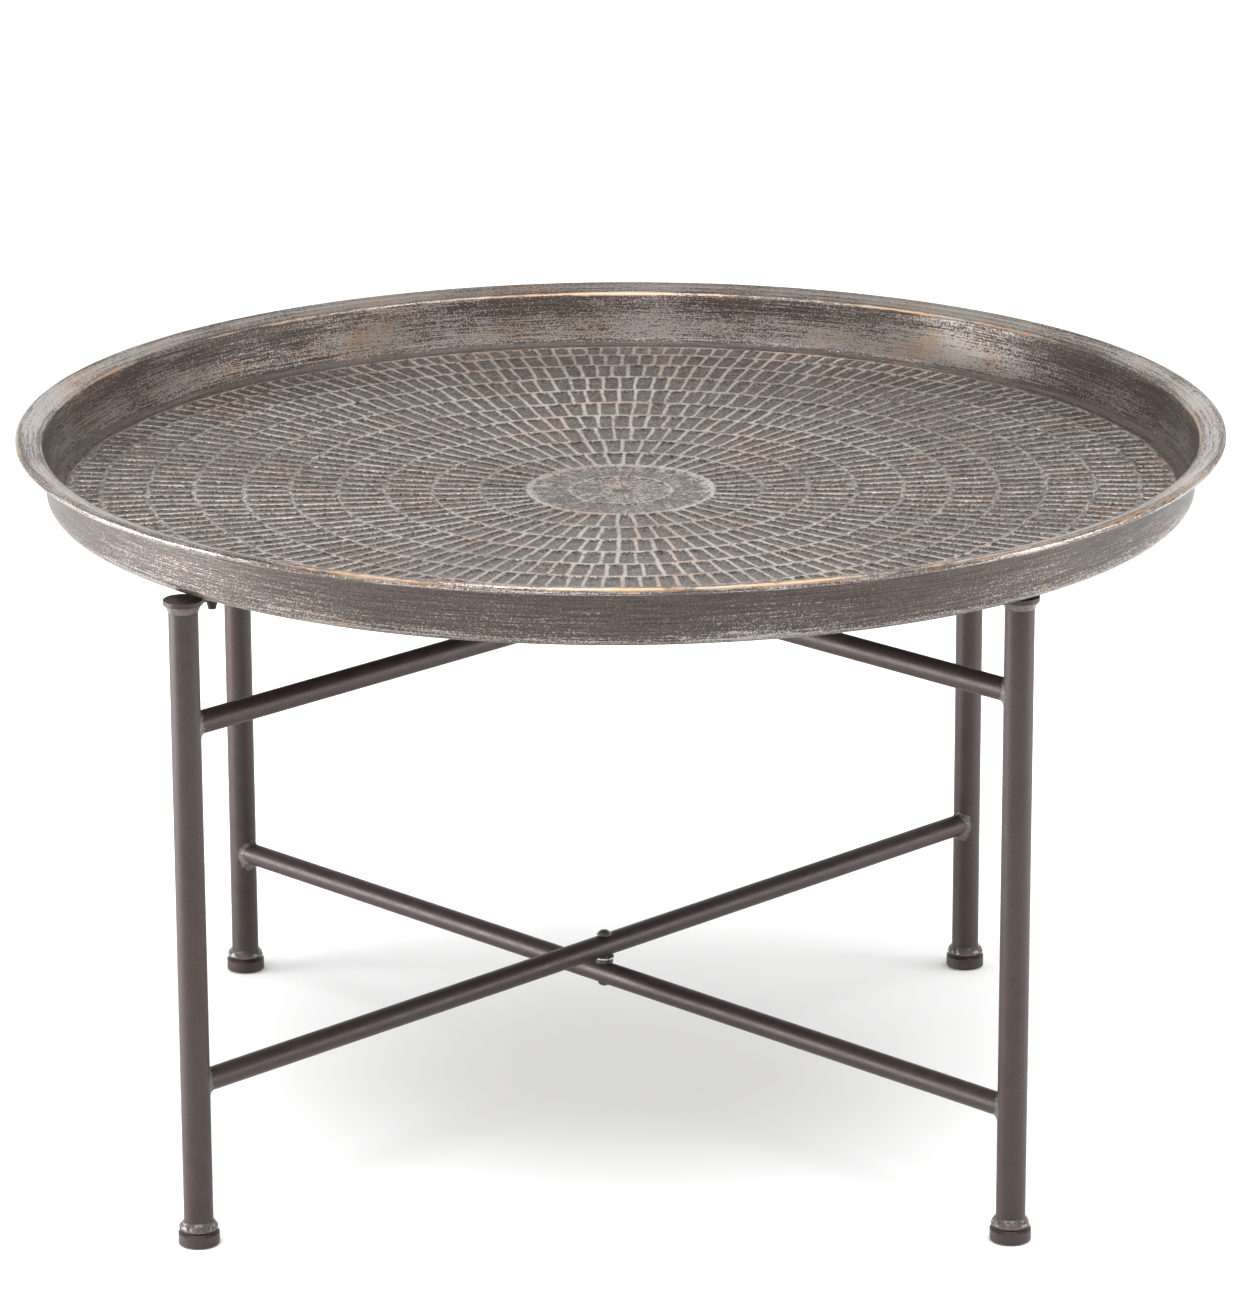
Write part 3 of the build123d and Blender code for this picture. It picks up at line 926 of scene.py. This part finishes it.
# each bead has its own random draws
seed = 40
FOOT_SEEDS, PLATE_SEEDS = 20, 60
for side in ("outer", "inner"):
    body = f"{side}_frame"
    for end in ("front", "back"):
        leg = f"{side}_leg_{end}"
        for level in ("lower", "upper"):
            seed += 1
            rail_weld(f"{side}_{level}_rail_weld_{end}", leg, f"{side}_{level}_rail", body, seed)
        foot_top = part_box(f"{side}_foot_{end}")[1].z
        rows = [
            (-0.3, foot_top + 1.6 * MM, 0.0),
            (0.25, foot_top + 1.2 * MM, 0.3),
            (0.95, foot_top + 0.1 * MM, 0.7),
            (1.75, foot_top - 1.1 * MM, 1.0),
            (2.50, foot_top - 2.4 * MM, 1.0),
            (2.95, foot_top - 3.9 * MM, 0.6),
            (2.6, foot_top - 4.4 * MM, 0.0),
            (0.8, foot_top - 2.6 * MM, 0.0),
            (-0.3, foot_top - 0.5 * MM, 0.0),
        ]
        ring_weld(f"{side}_foot_weld_{end}", leg, rows, body, seed + FOOT_SEEDS, 0.5)
        plate_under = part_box(leg)[1].z
        # these rows go up the outside, so the faces of this bead point inwards
        rows = [
            (-0.3, plate_under - 5.4 * MM, 0.0),
            (0.25, plate_under - 4.6 * MM, 0.4),
            (0.75, plate_under - 3.2 * MM, 0.8),
            (1.45, plate_under - 1.7 * MM, 0.9),
            (2.35, plate_under - 0.5 * MM, 0.6),
            (2.7, plate_under + 0.1 * MM, 0.0),
            (-0.3, plate_under + 0.1 * MM, 0.0),
        ]
        ring_weld(f"{side}_plate_weld_{end}", leg, rows, body, seed + PLATE_SEEDS, 0.4)

# ---------------------------------------------------------------- floor, light and camera
FLOOR_HALF = 60.0
PAPER = (0.92, 0.92, 0.92)
# the light of the world on matt surfaces: at the horizon and overhead, and its share from the front
HORIZON_LIGHT, ZENITH_LIGHT, FRONT_SHARE = 0.66, 1.20, 0.80
# what polished surfaces mirror: a bright band at the horizon, dim overhead and dimmer at the sides
MIRROR_HORIZON, MIRROR_ZENITH, MIRROR_SIDE = 1.10, 0.32, 0.22
CAMERA_PLACE = (-0.00284, -3.90304, 1.49584)
CAMERA_PITCH, CAMERA_YAW, CAMERA_ROLL = 0.2927, 0.00063, -0.00426
CAMERA_HALF_WIDTH = 0.1021566
FAR_CLIP = 200

corners = [(x * FLOOR_HALF, y * FLOOR_HALF, 0) for x, y in ((-1, -1), (1, -1), (1, 1), (-1, 1))]
ground_mesh = bpy.data.meshes.new("studio_floor")
ground_mesh.from_pydata(corners, [], [(0, 1, 2, 3)])
paper = surface("studio_paper")
paper.set(Base_Color=PAPER, Roughness=0.9, Specular_IOR_Level=0.1)
ground_mesh.materials.append(paper.owner)
link_mesh("studio_floor", ground_mesh)

world = bpy.data.worlds.new("studio")
scene.world = world
sky = Tree(world, "Background")
_, depth, height = sky.split(sky.coordinates("Generated"))
lit = sky.step(height, 0.10, 0.80, HORIZON_LIGHT, ZENITH_LIGHT)
lit = sky.times(lit, sky.step(depth, -0.9, -0.2, FRONT_SHARE, 1.0))
mirrored = sky.step(height, 0.30, 0.75, MIRROR_HORIZON, MIRROR_ZENITH)
end_on = sky.times(depth, depth)
mirrored = sky.times(mirrored, sky.step(end_on, 0.05, 0.60, MIRROR_SIDE, 1.0))
path = sky.tree.nodes.new("ShaderNodeLightPath")
blend = sky.tree.nodes.new("ShaderNodeMix")
for key, value in (("Factor", path.outputs["Is Glossy Ray"]), ("A", lit), ("B", mirrored)):
    sky.put(blend.inputs[key], value)
# the camera sees plain white behind the floor
strength = sky.math("MAXIMUM", blend.outputs["Result"], path.outputs["Is Camera Ray"])
sky.set(Color=(1.0, 1.0, 1.0), Strength=strength)


def softbox(name, place, target, size, power):
    light = bpy.data.lights.new(name, "AREA")
    light.shape = "RECTANGLE"
    light.size, light.size_y = size
    light.energy = power
    lamp = bpy.data.objects.new(name, light)
    lamp.location = place
    lamp.rotation_euler = (Vector(target) - Vector(place)).to_track_quat("-Z", "Y").to_euler()
    scene.collection.objects.link(lamp)


softbox("side_left", (-2.6, -0.2, 0.33), (0, 0, 0.2), (1.2, 0.6), 80)
softbox("side_right", (2.6, -0.3, 0.45), (0, 0, 0.3), (1.0, 0.8), 30)
softbox("front_left", (-0.8, -1.5, 3.0), (0.15, 0.3, 0.45), (1.4, 1.2), 48)
softbox("front_right", (0.8, -1.5, 3.0), (-0.2, 0.3, 0.45), (1.4, 1.2), 38)
softbox("top_left", (-0.75, 0.25, 2.6), (-0.3, 0.1, 0.4), (1.0, 1.6), 22)
softbox("top_right", (0.75, 0.25, 2.6), (0.3, 0.1, 0.4), (1.0, 1.6), 22)

camera_data = bpy.data.cameras.new("camera")
camera_data.sensor_fit = "HORIZONTAL"
camera_data.angle = 2 * math.atan(CAMERA_HALF_WIDTH)
camera_data.clip_end = FAR_CLIP
camera = bpy.data.objects.new("camera", camera_data)
scene.collection.objects.link(camera)
scene.camera = camera
level = math.cos(CAMERA_PITCH)
forward = Vector((math.sin(CAMERA_YAW) * level, math.cos(CAMERA_YAW) * level, -math.sin(CAMERA_PITCH)))
flat_right = forward.cross(Vector((0, 0, 1))).normalized()
flat_up = flat_right.cross(forward)
right = flat_right * math.cos(CAMERA_ROLL) + flat_up * math.sin(CAMERA_ROLL)
above = flat_up * math.cos(CAMERA_ROLL) - flat_right * math.sin(CAMERA_ROLL)
turn = Matrix((right, above, -forward)).transposed().to_4x4()
camera.matrix_world = Matrix.Translation(CAMERA_PLACE) @ turn

scene.view_settings.view_transform = "Standard"
scene.view_settings.look = "None"
scene.view_settings.exposure = 0.0
scene.view_settings.gamma = 1.0

bpy.context.view_layer.update()
